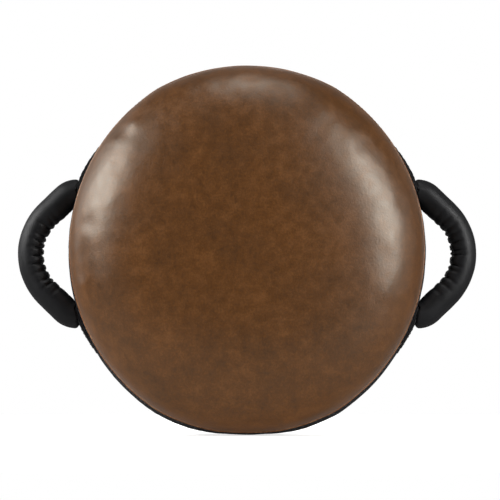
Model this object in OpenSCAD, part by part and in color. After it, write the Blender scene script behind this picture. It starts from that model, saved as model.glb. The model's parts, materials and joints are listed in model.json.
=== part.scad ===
// Belly pad that a trainer wears to take body blows: a domed foam pad in a leather cover,
// with a grab handle at each side and a waist belt that closes behind it.
// The origin is the middle of the back panel's outer face. +Z is up and the face looks along -Y.

/* [Pad] */
// Height of the face, edge to edge
pad_h = 410; // [320:1:500]
// Width of the face, edge to edge
pad_w = 394; // [320:1:480]
// Thickness from the back panel to the top of the face
pad_t = 110; // [80:1:160]
// Width of the side band, from the back panel to the front seam
band_w = 44; // [36:1:60]
// Fullness of the face: a higher number is flatter in the middle
face_power = 3.4; // [2.4:0.1:5]

/* [Cover] */
// Thickness of the leather
skin_t = 1.2; // [0.8:0.1:2]
// Thickness of the lined back panel
panel_t = 1.6; // [1:0.1:3]
// Width of the piping over each seam
welt_w = 3; // [2:0.2:5]
// Height of the piping above the band
welt_h = 1.6; // [1:0.1:2.4]

/* [Filling] */
// Thickness of the soft foam against the wearer
back_foam_t = 12; // [6:1:16]
// Thickness of the stiff sheet that spreads a blow
sheet_t = 3; // [2:0.5:5]
// Distance from the stiff sheet's edge to the foam's edge
sheet_inset = 14; // [6:1:40]

/* [Handles] */
// Distance between the two folds of a handle
handle_span = 135; // [110:1:170]
// Distance from the folds to the middle of the grip
handle_reach = 44.5; // [38:0.5:60]
// Radius of the grip over its leather
grip_r = 14.6; // [12:0.1:18]
// Radius of the rolled webbing core
core_r = 4.5; // [3:0.1:6]
// Step from the core up to the bead at each of its ends
bead_step = 0.5; // [0.3:0.1:1.5]
// Distance from the side band to the fold of a handle
fold_out = 11.8; // [9:0.1:16]
// Length of the core left bare between the grip and the fold
bare_l = 11; // [8:0.5:16]

/* [Handle tabs] */
// Length of a tab along the band
tab_l = 58; // [44:1:80]
// Distance from a tab's edge to the piping
tab_margin = 4.75; // [2:0.25:8]
// Thickness of a tab
tab_t = 3.2; // [2:0.1:5]
// Length of the fold that holds the core's end
fold_l = 20; // [14:1:28]
// Wall of the fold beside the core's end
fold_wall = 2.2; // [1.5:0.1:4]
// Distance from the fold's open edge to the middle of the bead in it
fold_lip = 1.5; // [1:0.1:2.5]

/* [Belt] */
// Width of the belt
belt_w = 100; // [60:1:140]
// Thickness of the belt
belt_t = 3; // [2:0.1:4]
// Distance from the belt's fold line to the edge of the pad
belt_margin = 12.7; // [8:0.1:40]
// Length of each belt anchor sewn on the back panel
anchor_l = 68; // [40:1:90]
// Length of the elastic next to the left fold
elastic_l = 108; // [60:1:120]
// Distance from the middle of the pad to the end of the right wing
right_gap = 12; // [10:1:40]
// Length over which the left wing climbs onto the right one
ramp_l = 34; // [20:1:60]
// Distance from the top of that climb to the end of the right wing
ramp_clear = 8; // [4:1:20]
// Length of the closing tip
tip_l = 62; // [50:1:80]
// Angle that the closing tip peels open to
tip_peel = 110; // [60:5:110]
// Length of the finger tab at the end of the tip
pull_l = 14; // [10:1:24]
// Distance that the finger tab reaches past the belt's right fold line
pull_out = 8; // [0:1:10]
// Width of the finger tab
pull_w = 44; // [24:1:60]
// Thickness of the finger tab
pull_t = 2; // [1.4:0.1:3]
// Thickness of the hook patch and of the loop patch
patch_t = 1.2; // [0.8:0.1:2]
// Bare edge of the belt round a patch
patch_edge = 8; // [4:1:14]

/* [Fits] */
// Gap between layers of the pad that lie against a curved face
layer_gap = 0.2; // [0.1:0.05:0.4]
// Gap between pieces that move against each other
move_gap = 0.3; // [0.2:0.05:0.6]

/* [Hidden] */
$fn = 128;

leather_brown = "#5b3b22";
leather_black = "#202022";
webbing_black = "#2b2b2e";
foam_grey = "#8d8f92";
sheet_white = "#d8d6cf";

// The outline is an oval of four arcs, whose radii follow the width and the height
half_w = pad_w / 2;
half_h = pad_h / 2;
side_r = max(half_w, half_h * half_h / half_w);
top_r = max(half_h, half_w * half_w / half_h);
side_ease = side_r - half_w;
top_ease = top_r - half_h;

// Half the width of the pad at a height above or below its middle
function half_width(z) = min(
    sqrt(side_r * side_r - z * z) - side_ease,
    sqrt(top_r * top_r - pow(abs(z) + top_ease, 2))
);

// Layers of the pad, measured forward from the back panel's outer face
fill_inset = skin_t + layer_gap;
back_foam_d = panel_t + layer_gap;
sheet_d = back_foam_d + back_foam_t;
core_foam_d = sheet_d + sheet_t;
face_rise = pad_t - band_w;
face_steps = 10;
face_sides = 96;
face_last = 87;

// The handles and tabs lie midway between the two rows of piping
bare_start = welt_w;
bare_end = band_w - welt_w / 2;
handle_d = (bare_start + bare_end) / 2;
tab_w = bare_end - bare_start - 2 * tab_margin;

// A handle is an arc through its two folds
fold_z = handle_span / 2;
fold_x = half_width(fold_z) + fold_out;
handle_r = (fold_z * fold_z + handle_reach * handle_reach) / (2 * handle_reach);
handle_x = fold_x + handle_reach - handle_r;
core_angle = atan2(fold_z, handle_r - handle_reach);
grip_angle = core_angle - bare_l / handle_r * 180 / PI;
bead_r = core_r + bead_step;
groove_r = bead_r + move_gap;
tab_start = fold_z - fold_l / 2 - fold_lip;

// The belt's layers lie behind the back panel, one over the other
hem_r = belt_t / 2 + move_gap;
axis_x = half_width(belt_w / 2) - belt_margin;
axis_y = belt_t + move_gap + hem_r;
under_y = axis_y - belt_t / 2;
loop_y = under_y + belt_t;
hook_y = loop_y + patch_t + move_gap;
over_y = hook_y + patch_t;
elastic_end = elastic_l - axis_x;
ramp_end = right_gap - ramp_clear;
ramp_start = ramp_end - ramp_l;
pull_end = axis_x + pull_out;
tip_end = pull_end - pull_l;
tip_x = tip_end - tip_l;
tip_y = over_y + belt_t / 2;
peel_room = (belt_t / 2 * (1 - cos(tip_peel)) + move_gap) / sin(tip_peel);
strap_end = tip_x - max(hem_r + move_gap, peel_room);

// Two circles that overlap by the whole of their width less twice the ease
module lens(r, ease) {
    if (ease > 0)
        intersection() {
            translate([ease, 0]) circle(r);
            translate([-ease, 0]) circle(r);
        }
    else
        circle(r);
}

// The pad's outline, moved in all round by inset
module outline(inset = 0) {
    intersection() {
        lens(side_r - inset, side_ease);
        rotate(90) lens(top_r - inset, top_ease);
    }
}

// Stands a shape drawn on the back panel up, with its height running forward
module forward(d = 0) {
    rotate([90, 0, 0]) translate([0, 0, d]) children();
}

// A slab of the pad's outline
module slab(d, t, inset) {
    forward(d) linear_extrude(height = t) outline(inset);
}

// A ring that follows the outline
module ring(d, t, inner, outer) {
    forward(d) linear_extrude(height = t) difference() {
        outline(outer);
        outline(inner);
    }
}

// Distance from the middle to a circle, along a ray at the angle turn
function ray(turn, x, z, r) = let (
    along = x * cos(turn) + z * sin(turn),
    across = x * sin(turn) - z * cos(turn)
) along + sqrt(r * r - across * across);

// Distance from the middle to the outline moved in by inset, along a ray
function reach(turn, inset) = min(
    ray(turn, side_ease, 0, side_r - inset),
    ray(turn, -side_ease, 0, side_r - inset),
    ray(turn, 0, top_ease, top_r - inset),
    ray(turn, 0, -top_ease, top_r - inset)
);

// One ring of the domed face: step 0 lies on the front seam and the last one near the top
function face_ring(step, inset) = let (
    climb = face_last * step / face_steps,
    share = pow(cos(climb), 2 / face_power),
    d = band_w + (face_rise - inset) * sin(climb) / sin(face_last)
) [
    for (k = [0 : face_sides - 1]) let (
        turn = 360 * k / face_sides,
        r = reach(turn, inset) * share
    ) [r * cos(turn), r * sin(turn), d]
];

// Faces between ring a and ring b, which comes next on the surface
function band_faces(a, b) = [
    for (k = [0 : face_sides - 1]) let (next = (k + 1) % face_sides)
        [b + k, b + next, a + next, a + k]
];

function ring_up(a) = [for (k = [0 : face_sides - 1]) a + k];
function ring_down(a) = [for (k = [face_sides - 1 : -1 : 0]) a + k];

// A solid dome on the front seam
module dome(inset) {
    top = face_steps * face_sides;
    forward() polyhedron(
        points = [for (k = [0 : face_steps]) each face_ring(k, inset)],
        faces = [
            ring_up(0),
            for (k = [0 : face_steps - 1]) each band_faces(k * face_sides, (k + 1) * face_sides),
            ring_down(top)
        ]
    );
}

// A shell over the dome: its outer rings climb to the top, and its inner rings come down again
module dome_shell(t) {
    top = face_steps * face_sides;
    inner = top + face_sides;
    foot = inner + top;
    forward() polyhedron(
        points = [
            for (k = [0 : face_steps]) each face_ring(k, 0),
            for (k = [face_steps : -1 : 0]) each face_ring(k, t)
        ],
        faces = [
            for (k = [0 : face_steps - 1]) each band_faces(k * face_sides, (k + 1) * face_sides),
            ring_down(top),
            ring_up(inner),
            for (k = [0 : face_steps - 1])
                each band_faces(inner + k * face_sides, inner + (k + 1) * face_sides),
            each band_faces(foot, 0)
        ]
    );
}

// Both sides are alike: what is drawn on the right is mirrored to the left
module side(right) {
    if (right)
        children();
    else
        mirror([1, 0, 0]) children();
}

module upper(up) {
    if (up)
        children();
    else
        mirror([0, 0, 1]) children();
}

// An arc of a handle with a round section
module handle_arc(angle) {
    forward(handle_d) translate([handle_x, 0, 0]) rotate(-angle) rotate_extrude(angle = 2 * angle)
        translate([handle_r, 0]) children();
}

// A tab follows the band, and its fold holds the end of the handle's core
module tab() {
    block_w = 2 * (groove_r + fold_wall);
    difference() {
        union() {
            forward(handle_d - tab_w / 2) linear_extrude(height = tab_w) intersection() {
                outline(-tab_t);
                translate([0, tab_start]) square([pad_w, tab_l]);
            }
            forward(handle_d - block_w / 2) translate([0, fold_z - fold_l / 2, 0])
                cube([fold_x - fold_lip, fold_l, block_w]);
        }
        forward(handle_d - pad_t / 2) linear_extrude(height = pad_t) outline(-layer_gap);
        translate([fold_x, -handle_d, fold_z - fold_l]) cylinder(r = groove_r, h = 2 * fold_l);
    }
}

module handle_sleeve() {
    handle_arc(grip_angle) difference() {
        circle(grip_r);
        circle(grip_r - skin_t);
    }
}

module handle_foam() {
    handle_arc(grip_angle) difference() {
        circle(grip_r - fill_inset);
        circle(core_r + layer_gap);
    }
}

module handle_core() {
    handle_arc(core_angle) circle(core_r);
    for (z = [-fold_z, fold_z])
        translate([fold_x, -handle_d, z - fold_l / 2]) cylinder(r = bead_r, h = fold_l);
}

// A belt piece is drawn in plan and stands as tall as the belt is wide
module belt_plan(w = belt_w) {
    translate([0, 0, -w / 2]) linear_extrude(height = w) children();
}

// A strip of belt in plan, from one place to another across the back
module strip(x0, x1, y, t = belt_t) {
    translate([x0, y]) square([x1 - x0, t]);
}

module hem(x, y) {
    translate([x, y]) circle(hem_r);
}

module belt_anchor() {
    color(webbing_black) belt_plan() strip(axis_x - anchor_l, axis_x + hem_r, 0);
}

module front_cover() {
    color(leather_brown) dome_shell(skin_t);
}

module front_welt() {
    color(leather_brown) ring(band_w - welt_w / 2, welt_w, -layer_gap, -layer_gap - welt_h);
}

module side_band() {
    color(leather_black) ring(panel_t, band_w - panel_t, skin_t, 0);
}

module rear_welt() {
    color(leather_black) ring(0, welt_w, -layer_gap, -layer_gap - welt_h);
}

module back_panel() {
    color(leather_black) slab(0, panel_t, 0);
}

module face_foam() {
    color(foam_grey) dome(fill_inset);
}

module core_foam() {
    color(foam_grey) slab(core_foam_d, band_w - core_foam_d, fill_inset);
}

module spreader_sheet() {
    color(sheet_white) slab(sheet_d, sheet_t, fill_inset + sheet_inset);
}

module back_foam() {
    color(foam_grey) slab(back_foam_d, back_foam_t, fill_inset);
}

module left_upper_tab() {
    color(leather_black) side(false) tab();
}

module left_lower_tab() {
    color(leather_black) side(false) upper(false) tab();
}

module right_upper_tab() {
    color(leather_black) side(true) tab();
}

module right_lower_tab() {
    color(leather_black) side(true) upper(false) tab();
}

module left_handle_sleeve() {
    color(leather_black) side(false) handle_sleeve();
}

module left_handle_foam() {
    color(foam_grey) side(false) handle_foam();
}

module left_handle_core() {
    color(webbing_black) side(false) handle_core();
}

module right_handle_sleeve() {
    color(leather_black) side(true) handle_sleeve();
}

module right_handle_foam() {
    color(foam_grey) side(true) handle_foam();
}

module right_handle_core() {
    color(webbing_black) side(true) handle_core();
}

module belt_left_anchor() {
    side(false) belt_anchor();
}

module belt_right_anchor() {
    side(true) belt_anchor();
}

module belt_left_elastic() {
    color(webbing_black) belt_plan() {
        hem(-axis_x, axis_y);
        strip(-axis_x, elastic_end, under_y);
    }
}

// The left wing climbs over the end of the right wing
module belt_left_strap() {
    color(webbing_black) belt_plan() polygon([
        [elastic_end, under_y],
        [ramp_start, under_y],
        [ramp_end, over_y],
        [strap_end, over_y],
        [strap_end, over_y + belt_t],
        [ramp_end, over_y + belt_t],
        [ramp_start, under_y + belt_t],
        [elastic_end, under_y + belt_t]
    ]);
}

module belt_tip_strap() {
    color(webbing_black) belt_plan() {
        hem(tip_x, tip_y);
        strip(tip_x, tip_end, over_y);
    }
}

module belt_tip_hook() {
    color(webbing_black) belt_plan(belt_w - 2 * patch_edge)
        strip(tip_x + patch_edge, tip_end, hook_y, patch_t);
}

module belt_pull_tab() {
    color(leather_black) belt_plan(pull_w) strip(tip_end, pull_end, tip_y - pull_t / 2, pull_t);
}

module belt_right_strap() {
    color(webbing_black) belt_plan() {
        hem(axis_x, axis_y);
        strip(right_gap, axis_x, under_y);
    }
}

module belt_loop_field() {
    color(webbing_black) belt_plan(belt_w - 2 * patch_edge)
        strip(right_gap + patch_edge, axis_x - 2 * patch_edge, loop_y, patch_t);
}

front_cover();
front_welt();
side_band();
rear_welt();
back_panel();
face_foam();
core_foam();
spreader_sheet();
back_foam();
left_upper_tab();
left_lower_tab();
right_upper_tab();
right_lower_tab();
left_handle_sleeve();
left_handle_foam();
left_handle_core();
right_handle_sleeve();
right_handle_foam();
right_handle_core();
belt_left_anchor();
belt_right_anchor();
belt_left_elastic();
belt_left_strap();
belt_tip_strap();
belt_tip_hook();
belt_pull_tab();
belt_right_strap();
belt_loop_field();
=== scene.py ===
"""Belly pad that a trainer wears to take body blows, in brown and black leatherette, round its CAD frame."""
import json
import math
import random
from contextlib import contextmanager

import bmesh
import bpy
from mathutils import Matrix, Quaternion, Vector, noise


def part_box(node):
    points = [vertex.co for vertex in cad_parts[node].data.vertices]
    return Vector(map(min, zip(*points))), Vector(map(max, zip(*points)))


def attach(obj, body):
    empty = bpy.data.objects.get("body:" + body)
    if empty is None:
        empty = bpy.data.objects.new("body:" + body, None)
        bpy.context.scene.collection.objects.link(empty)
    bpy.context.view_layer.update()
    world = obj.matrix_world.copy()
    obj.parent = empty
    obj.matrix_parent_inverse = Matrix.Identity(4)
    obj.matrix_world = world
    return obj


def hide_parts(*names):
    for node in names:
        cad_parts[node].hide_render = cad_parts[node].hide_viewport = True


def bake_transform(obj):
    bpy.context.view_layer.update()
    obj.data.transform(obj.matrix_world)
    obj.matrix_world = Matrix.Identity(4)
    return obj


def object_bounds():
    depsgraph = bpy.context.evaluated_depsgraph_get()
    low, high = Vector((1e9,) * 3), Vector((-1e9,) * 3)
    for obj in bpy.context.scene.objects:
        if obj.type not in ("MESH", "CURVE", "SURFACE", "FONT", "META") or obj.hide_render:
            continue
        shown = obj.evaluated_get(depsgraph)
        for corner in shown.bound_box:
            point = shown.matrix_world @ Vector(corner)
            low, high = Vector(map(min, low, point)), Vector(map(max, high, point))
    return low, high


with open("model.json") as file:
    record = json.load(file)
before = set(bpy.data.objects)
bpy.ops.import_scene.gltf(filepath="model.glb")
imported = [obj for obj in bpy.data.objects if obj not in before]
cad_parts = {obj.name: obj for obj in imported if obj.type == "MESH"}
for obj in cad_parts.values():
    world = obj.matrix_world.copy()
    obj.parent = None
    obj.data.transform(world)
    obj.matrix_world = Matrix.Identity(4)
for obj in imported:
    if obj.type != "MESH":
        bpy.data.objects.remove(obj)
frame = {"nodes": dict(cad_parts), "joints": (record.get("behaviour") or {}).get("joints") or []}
cad_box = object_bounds()

MM = 0.001

# Sizes that come from the frame
band_low, band_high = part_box("side_band")
HALF_W, HALF_H, SEAM_Y = band_high.x, band_high.z, band_low.y
CROWN_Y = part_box("front_cover")[0].y
joints = {j["name"]: Vector(j["pos_m"]) for j in frame["joints"]}
GRIP_Y = joints["right_handle_swing"].y
BELT_FOLD_X, BELT_FOLD_Y = joints["belt_right_open"].x, joints["belt_right_open"].y
TIP_FOLD_X, TIP_FOLD_Y = joints["belt_tip_peel"].x, joints["belt_tip_peel"].y

# The outline is an oval of four arcs, and a little flat at its lowest part, where the pad stands
SIDE_R = max(HALF_W, HALF_H * HALF_H / HALF_W)
TOP_R = max(HALF_H, HALF_W * HALF_W / HALF_H)
SIDE_EASE, TOP_EASE = SIDE_R - HALF_W, TOP_R - HALF_H
ARCS = (
    (SIDE_EASE, 0, SIDE_R),
    (-SIDE_EASE, 0, SIDE_R),
    (0, TOP_EASE, TOP_R),
    (0, -TOP_EASE, TOP_R),
)
STOOD_FLAT = 1.0 * MM
STOOD_FROM = 0.985

# The face is full: a higher power is flatter in the middle
FACE_POWER = 3.4

# Handles: a bent tube with straight arms, whose ends turn in to the band and are pressed against the tabs.
# Each is shaped from a piece of torus that goes to TORUS_END above and below the middle. The seam of its
# sleeve lies at GRIP_SEAM round the tube
GRIP_R = 14.4 * MM
ARM_R = 15.3 * MM
BEND_R = 61.7 * MM
BEND_END = math.radians(46)
ARM_L = 27.5 * MM
TURN_IN_R = 18 * MM
TURN_IN = math.radians(38)
CAP_L = 8 * MM
GRIP_DROP = 4 * MM
HUB_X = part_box("right_handle_sleeve")[1].x - GRIP_R - BEND_R
GRIP_L = BEND_R * BEND_END + ARM_L + TURN_IN_R * TURN_IN + CAP_L
GRIP_SEAM = 2.45
GRIP_GAP = 0.2 * MM
TORUS_END = math.radians(74)

# The side band and what is sewn on it
BAND_BACK = 0.8 * MM
REAR_SEAM = 1.6 * MM
BULGE = 3.2 * MM
BULGE_SAG = 0.4
BULGE_STOOD_ON = 0.65
HOLD_START = (48 * MM, 57 * MM)
HOLD_END = (113 * MM, 122 * MM)
TAB_T = 3.3 * MM
TAB_START, TAB_END = 64 * MM, 114 * MM
TAB_HALF = 15 * MM
TAB_OUT_MM = 0.3
LAYER_MM = 1.5

# Piping: its radius in front and behind, and how far its middle lies inside the outline
FRONT_PIPING_R, REAR_PIPING_R = 1.5 * MM, 1.6 * MM
REAR_PIPING_Y = -1.4 * MM
PIPING_IN_MM = 0.6

# Rows of stitches round the pad: how far each lies from the front seam, from the back, and inside the outline
FRONT_ROW, REAR_ROW, BACK_ROW = 5 * MM, 6.5 * MM, 9 * MM
BACK_ROW_SUNK = 0.35 * MM

# Belt: half its width, the room for its thickness, and how far its stitches lie from an edge
BELT_HALF = 50 * MM
BELT_T = 3 * MM
WEBBING_T, ELASTIC_T = BELT_T - 0.1 * MM, BELT_T - 0.7 * MM
ELASTIC_START = 20 * MM
BELT_EDGE = 5 * MM
PATCH_EDGE = 1.8 * MM

# Edges that meet at more than this are worn round
WORN_ANGLE = math.radians(50)


def clear():
    """Leaves nothing selected."""
    if bpy.context.mode != "OBJECT":
        bpy.ops.object.mode_set(mode="OBJECT")
    bpy.ops.object.select_all(action="DESELECT")


def take(obj):
    """Makes one object the only one that operators act on."""
    clear()
    obj.select_set(True)
    bpy.context.view_layer.objects.active = obj


def begin(name, adder, scale=(1, 1, 1), **settings):
    """Adds a primitive at its size and place, and puts both into its mesh."""
    clear()
    adder(**settings)
    obj = bpy.context.object
    obj.name = obj.data.name = name
    obj.scale = scale
    bpy.ops.object.transform_apply(location=True, rotation=True, scale=True)
    return obj


@contextmanager
def edit(obj, mode="VERT"):
    """Edit mode on one object, with everything in it selected."""
    take(obj)
    bpy.ops.object.mode_set(mode="EDIT")
    bpy.ops.mesh.select_mode(type=mode)
    bpy.ops.mesh.select_all(action="SELECT")
    yield bmesh.from_edit_mesh(obj.data)
    bpy.ops.object.mode_set(mode="OBJECT")


def select(obj, bm, parts, test):
    """Selects the vertices, edges or faces whose middle passes a test."""
    bpy.ops.mesh.select_all(action="DESELECT")
    for part in parts:
        if isinstance(part, bmesh.types.BMVert):
            middle = part.co
        else:
            middle = sum((v.co for v in part.verts), Vector()) / len(part.verts)
        part.select_set(test(middle))
    bm.select_flush_mode()
    bmesh.update_edit_mesh(obj.data)


def cut(obj, place, normal):
    """Cuts off what lies on the side that normal points to."""
    with edit(obj):
        bpy.ops.mesh.bisect(plane_co=place, plane_no=normal, clear_outer=True)


def apply(obj, kind, **settings):
    """Adds a modifier and applies it."""
    take(obj)
    modifier = obj.modifiers.new(kind.title(), kind)
    for key, value in settings.items():
        setattr(modifier, key, value)
    bpy.ops.object.modifier_apply(modifier=modifier.name)


def wear(obj, width):
    """Rounds the sharp edges of a piece by a width."""
    apply(obj, "BEVEL", width=width, segments=2, limit_method="ANGLE", angle_limit=WORN_ANGLE)


def shape(obj, move):
    """Moves each vertex by a formula, as a hand does with soft stuff."""
    for v in obj.data.vertices:
        v.co = move(v.co)
    obj.data.update()


def close_up(obj):
    """Merges doubles and turns the faces outwards."""
    with edit(obj):
        bpy.ops.mesh.remove_doubles(threshold=0.01 * MM)
        bpy.ops.mesh.normals_make_consistent(inside=False)


def join(name, objs):
    """Makes one piece of several."""
    take(objs[0])
    for o in objs:
        o.select_set(True)
    bpy.ops.object.join()
    objs[0].name = objs[0].data.name = name
    return objs[0]


def dress(obj, finish, body=None, nodes=(), angle=40):
    """Gives a piece its finish and its place in the frame."""
    obj.data.materials.clear()
    obj.data.materials.append(finish)
    take(obj)
    bpy.ops.object.shade_smooth_by_angle(angle=math.radians(angle))
    if nodes:
        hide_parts(*nodes)
    if body:
        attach(obj, body)


def ease(low, high, x):
    """Goes smoothly from 0 at low to 1 at high."""
    t = min(1, max(0, (x - low) / (high - low)))
    return t * t * (3 - 2 * t)


def reach(turn, out=0.0):
    """Distance from the middle of the pad to its outline moved out, along a ray at the angle turn."""
    c, s = math.cos(turn), math.sin(turn)
    ways = []
    for x, z, r in ARCS:
        across = x * s - z * c
        ways.append(x * c + z * s + math.sqrt((r + out) ** 2 - across * across))
    return min(ways) - STOOD_FLAT * ease(STOOD_FROM, 1.0, -s)


def on_outline(turn, d, out=0.0):
    """A point on the band: at the angle turn, d forward of the back, moved out."""
    r = reach(turn, out)
    return Vector((r * math.cos(turn), -d, r * math.sin(turn)))


def to_outline(co, r0):
    """Moves a point of a round primitive of radius r0 so that the round follows the pad's outline."""
    turn = math.atan2(co.z, co.x)
    r = reach(turn) + math.hypot(co.x, co.z) - r0
    return Vector((r * math.cos(turn), co.y, r * math.sin(turn)))


# Finishes

POLYMER_IOR = 1.5
GRAIN_WEIGHT = 1.2
GRAIN_MIDDLE = 1.6


def colour(code):
    """Linear colour of an sRGB hex value."""
    parts = [int(code[i:i + 2], 16) / 255 for i in (1, 3, 5)]
    return [p / 12.92 if p <= 0.04045 else ((p + 0.055) / 1.055) ** 2.4 for p in parts] + [1.0]


def node(tree, kind, ins=None, **settings):
    """Adds a node, sets its options, and gives its sockets values or links."""
    made = tree.nodes.new("ShaderNode" + kind)
    for key, value in settings.items():
        setattr(made, key, value)
    for key, value in (ins or {}).items():
        if isinstance(value, bpy.types.NodeSocket):
            tree.links.new(value, made.inputs[key])
        else:
            made.inputs[key].default_value = value
    return made


def blank(name, roughness, **sockets):
    """A new finish, with the numbers that are the same all over it on its shader."""
    finish = bpy.data.materials.new(name)
    finish.use_nodes = True
    tree = finish.node_tree
    shader = tree.nodes["Principled BSDF"]
    shader.inputs["Roughness"].default_value = roughness
    shader.inputs["IOR"].default_value = POLYMER_IOR
    for key, value in sockets.items():
        shader.inputs[key.replace("_", " ").title()].default_value = value
    place = node(tree, "TexCoord").outputs["Object"]
    return finish, tree, shader, place


def leatherette(name, deep, main, worn, tint, shine, roughness, cloud_mm, mottle_mm, grain_mm, contrast,
                grain_depth, sheen=0.0):
    """Synthetic leather: a polyurethane film, embossed with a fine grain on a cloth back and rubbed with a
    darker tone. To the eye it is a cloudy satin surface with at most a faint sheen. Its highlight is soft, a
    little broken by the grain, and softer still at a slant, where the grain hides the smooth film. The grain
    is drawn coarser than the real one, so that it shows."""
    finish, tree, shader, place = blank(
        name, roughness, specular_tint=colour(tint), sheen_weight=sheen, sheen_roughness=0.35)
    shader.inputs["Specular IOR Level"].default_value = shine
    cloud = node(tree, "TexNoise", {
        "Vector": place, "Scale": 1 / (cloud_mm * MM), "Detail": 3.0, "Roughness": 0.6})
    mottle = node(tree, "TexNoise", {
        "Vector": place, "Scale": 1 / (mottle_mm * MM), "Detail": 4.0, "Roughness": 0.65})
    grain = node(tree, "TexNoise", {
        "Vector": place, "Scale": 1 / (grain_mm * MM), "Detail": 2.0, "Roughness": 0.7})
    both = node(tree, "Math", {0: cloud.outputs["Fac"], 1: mottle.outputs["Fac"]}, operation="ADD")
    speck = node(tree, "Math", {0: grain.outputs["Fac"], 1: GRAIN_WEIGHT, 2: both.outputs[0]},
                 operation="MULTIPLY_ADD")
    level = node(tree, "MapRange", {
        "Value": speck.outputs[0], 1: GRAIN_MIDDLE - contrast, 2: GRAIN_MIDDLE + contrast})
    tone = node(tree, "ValToRGB", {"Fac": level.outputs[0]})
    ramp = tone.color_ramp
    ramp.elements[0].color, ramp.elements[1].color = colour(deep), colour(worn)
    ramp.elements.new(0.5).color = colour(main)
    tree.links.new(tone.outputs["Color"], shader.inputs["Base Color"])
    rough = node(tree, "MapRange", {
        "Value": mottle.outputs["Fac"], 1: 0.3, 2: 0.7, 3: roughness - 0.04, 4: roughness + 0.04})
    slant = node(tree, "LayerWeight", {"Blend": 0.5})
    scatter = node(tree, "MapRange", {"Value": slant.outputs["Facing"], 1: 0.45, 2: 0.8, 3: 0.0, 4: 0.3})
    spread = node(tree, "Math", {0: rough.outputs[0], 1: scatter.outputs[0]}, operation="ADD")
    tree.links.new(spread.outputs[0], shader.inputs["Roughness"])
    bump = node(tree, "Bump", {"Height": grain.outputs["Fac"], "Strength": 1.0, "Distance": grain_depth * MM})
    tree.links.new(bump.outputs[0], shader.inputs["Normal"])
    return finish


def woven(name, dark, light, roughness, along_mm, across_mm, zigzag_mm, depth_mm):
    """Woven tape: yarns that cross in ribs, or in a zigzag of twill. To the eye it is matte, with a fine even
    relief. Its colour follows the height of the weave, so the gaps between the yarns are darker by painted
    shade, under a random tone of fluff. The yarns are coarser than real ones, so that they show."""
    finish, tree, shader, place = blank(name, roughness, sheen_weight=0.15, sheen_roughness=0.5)
    axes = node(tree, "SeparateXYZ", {0: place})
    zig = node(tree, "Math", {0: axes.outputs["Z"], 1: zigzag_mm * MM}, operation="PINGPONG")
    run = node(tree, "Math", {0: axes.outputs["X"], 1: zig.outputs[0]}, operation="ADD")
    along = node(tree, "Math", {0: run.outputs[0], 1: 2 * math.pi / (along_mm * MM)}, operation="MULTIPLY")
    yarn = node(tree, "Math", {0: along.outputs[0]}, operation="SINE")
    across = node(tree, "Math", {0: axes.outputs["Z"], 1: 2 * math.pi / (across_mm * MM)},
                  operation="MULTIPLY")
    rib = node(tree, "Math", {0: across.outputs[0]}, operation="SINE")
    weave = node(tree, "Math", {0: rib.outputs[0], 1: 0.6, 2: yarn.outputs[0]}, operation="MULTIPLY_ADD")
    fluff = node(tree, "TexNoise", {"Vector": place, "Scale": 1 / (0.9 * MM), "Detail": 2.0})
    height = node(tree, "Math", {0: fluff.outputs["Fac"], 1: 0.8, 2: weave.outputs[0]},
                  operation="MULTIPLY_ADD")
    level = node(tree, "MapRange", {"Value": height.outputs[0], 1: -1.2, 2: 2.0})
    # Painted shade: the colour runs from dark in the low gaps between the yarns to light on their tops
    tone = node(tree, "ValToRGB", {"Fac": level.outputs[0]})
    tone.color_ramp.elements[0].color, tone.color_ramp.elements[1].color = colour(dark), colour(light)
    tree.links.new(tone.outputs["Color"], shader.inputs["Base Color"])
    bump = node(tree, "Bump", {"Height": level.outputs[0], "Strength": 1.0, "Distance": depth_mm * MM})
    tree.links.new(bump.outputs[0], shader.inputs["Normal"])
    return finish


def speckled(name, dark, light, roughness, spot_mm, depth_mm, randomness=1.0, **sockets):
    """A surface of small cells or tufts, each a little darker at its edge, where its bump dips, than in its
    middle. The darker edge is painted shade, under a random drifting tone.
    """
    finish, tree, shader, place = blank(name, roughness, **sockets)
    cells = node(tree, "TexVoronoi", {"Vector": place, "Scale": 1 / (spot_mm * MM), "Randomness": randomness})
    drift = node(tree, "TexNoise", {"Vector": place, "Scale": 1 / (12 * spot_mm * MM), "Detail": 3.0})
    mixed = node(tree, "Math", {0: drift.outputs["Fac"], 1: 0.6, 2: cells.outputs["Distance"]},
                 operation="MULTIPLY_ADD")
    # Painted shade: each cell is coloured darker towards its edge, where its bump dips
    tone = node(tree, "ValToRGB", {"Fac": mixed.outputs[0]})
    tone.color_ramp.elements[0].color, tone.color_ramp.elements[1].color = colour(light), colour(dark)
    tree.links.new(tone.outputs["Color"], shader.inputs["Base Color"])
    bump = node(tree, "Bump", {
        "Height": cells.outputs["Distance"], "Strength": 1.0, "Distance": depth_mm * MM}, invert=True)
    tree.links.new(bump.outputs[0], shader.inputs["Normal"])
    return finish


def twisted(name, dark, light):
    """Bonded polyester thread: three plies twisted together. To the eye it is a small satin bead with a
    slanting stripe, drawn coarser than the real twist, so that it shows."""
    finish, tree, shader, place = blank(name, 0.45)
    stripe = node(tree, "TexWave", {"Vector": place, "Scale": 0.05 / (0.8 * MM), "Distortion": 1.0},
                  bands_direction="DIAGONAL")
    tone = node(tree, "ValToRGB", {"Fac": stripe.outputs["Fac"]})
    tone.color_ramp.elements[0].color, tone.color_ramp.elements[1].color = colour(dark), colour(light)
    tree.links.new(tone.outputs["Color"], shader.inputs["Base Color"])
    return finish


# Brown leatherette with a rubbed, cloudy tone and a satin film
BROWN = leatherette(
    "brown_leatherette", "#442911", "#573310", "#6b4119", "#fff6e6", shine=1.0, roughness=0.36, cloud_mm=44,
    mottle_mm=11, grain_mm=2.3, contrast=0.52, grain_depth=0.15, sheen=0.1)
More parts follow.
